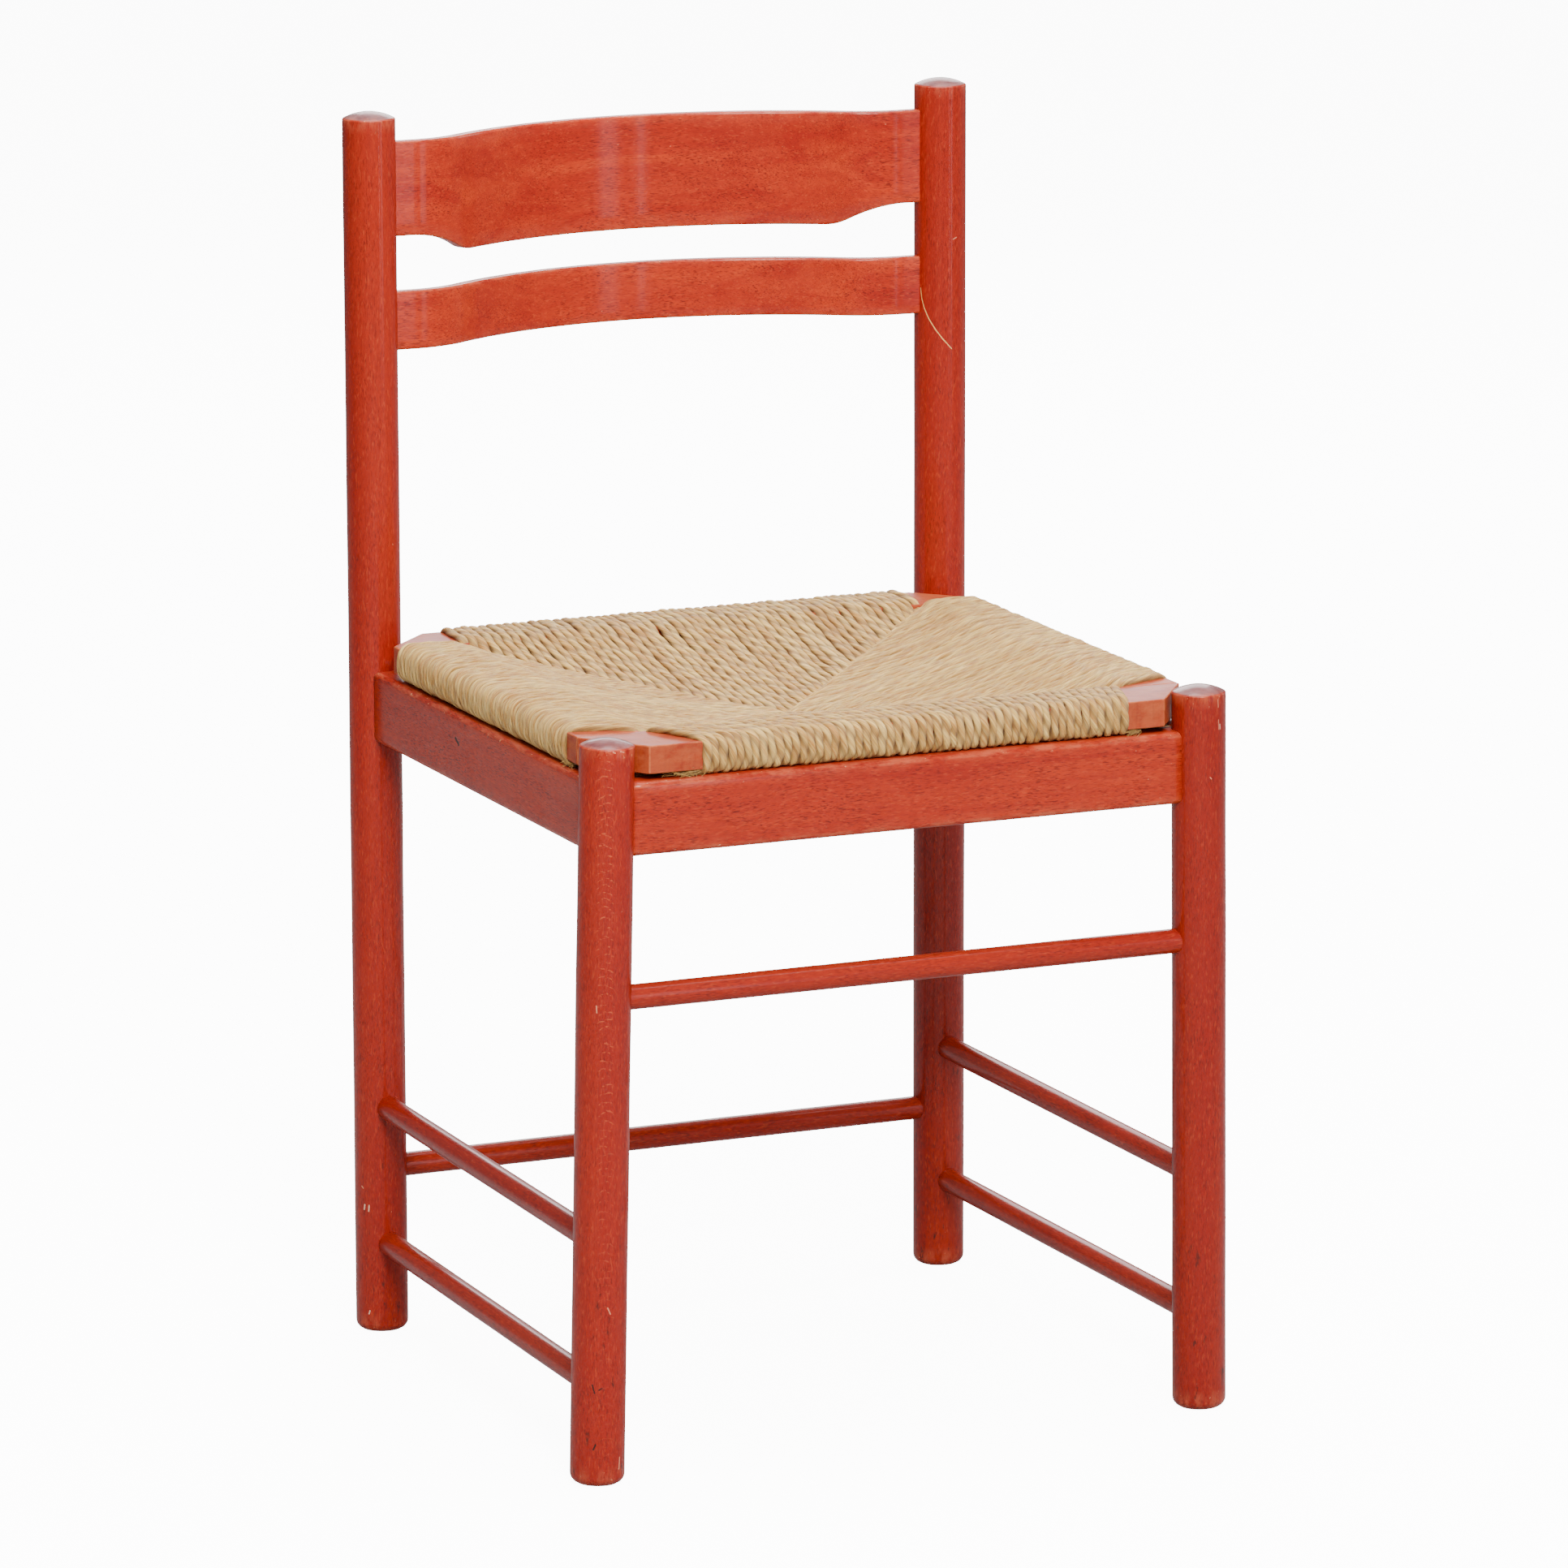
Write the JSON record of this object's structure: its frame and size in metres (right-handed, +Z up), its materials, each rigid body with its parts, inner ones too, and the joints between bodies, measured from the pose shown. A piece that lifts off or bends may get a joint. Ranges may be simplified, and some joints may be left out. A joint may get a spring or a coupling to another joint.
{
  "type": "side chair",
  "caption": "Armless wooden side chair with round legs, bent back slats, round stretchers and a loose drop-in seat woven from rush cord.",
  "frame": {"origin": "on the floor, under the middle of the chair's outline (bounding box bottom centre)", "axes": "+Z up along the posts, -Y the way a sitter faces, +X to the right as seen from the front of the chair looking at +Y"},
  "size_m": [0.4496, 0.4586, 0.8],
  "materials": {
    "red_beech": "red stain under satin lacquer",
    "seat_beech": "worn red stain, satin",
    "plain_beech": "bare wood",
    "rush_cord": "dry twisted rush",
    "rush_stuffing": "loose dry rush"
  },
  "bodies": {
    "frame": {"front_leg_left": "red_beech", "front_leg_right": "red_beech", "rear_post_left": "red_beech", "rear_post_right": "red_beech", "front_rail": "red_beech", "rear_rail": "red_beech", "left_rail": "red_beech", "right_rail": "red_beech", "rail_dowels": "plain_beech", "corner_blocks": "plain_beech", "top_slat": "red_beech", "lower_slat": "red_beech", "front_stretcher": "red_beech", "rear_stretcher": "red_beech", "left_upper_stretcher": "red_beech", "left_lower_stretcher": "red_beech", "right_upper_stretcher": "red_beech", "right_lower_stretcher": "red_beech"},
    "seat": {"seat_front_piece": "seat_beech", "seat_rear_piece": "seat_beech", "seat_left_piece": "seat_beech", "seat_right_piece": "seat_beech", "seat_frame_dowels": "plain_beech", "rush_weave": "rush_cord", "stuffing_front": "rush_stuffing", "stuffing_rear": "rush_stuffing", "stuffing_left": "rush_stuffing", "stuffing_right": "rush_stuffing"}
  },
  "joints": [
    {"name": "seat_lift", "type": "slide", "parent": "frame", "child": "seat", "axis": [0, 0, 1], "range_m": [0, 0.06]}
  ]
}
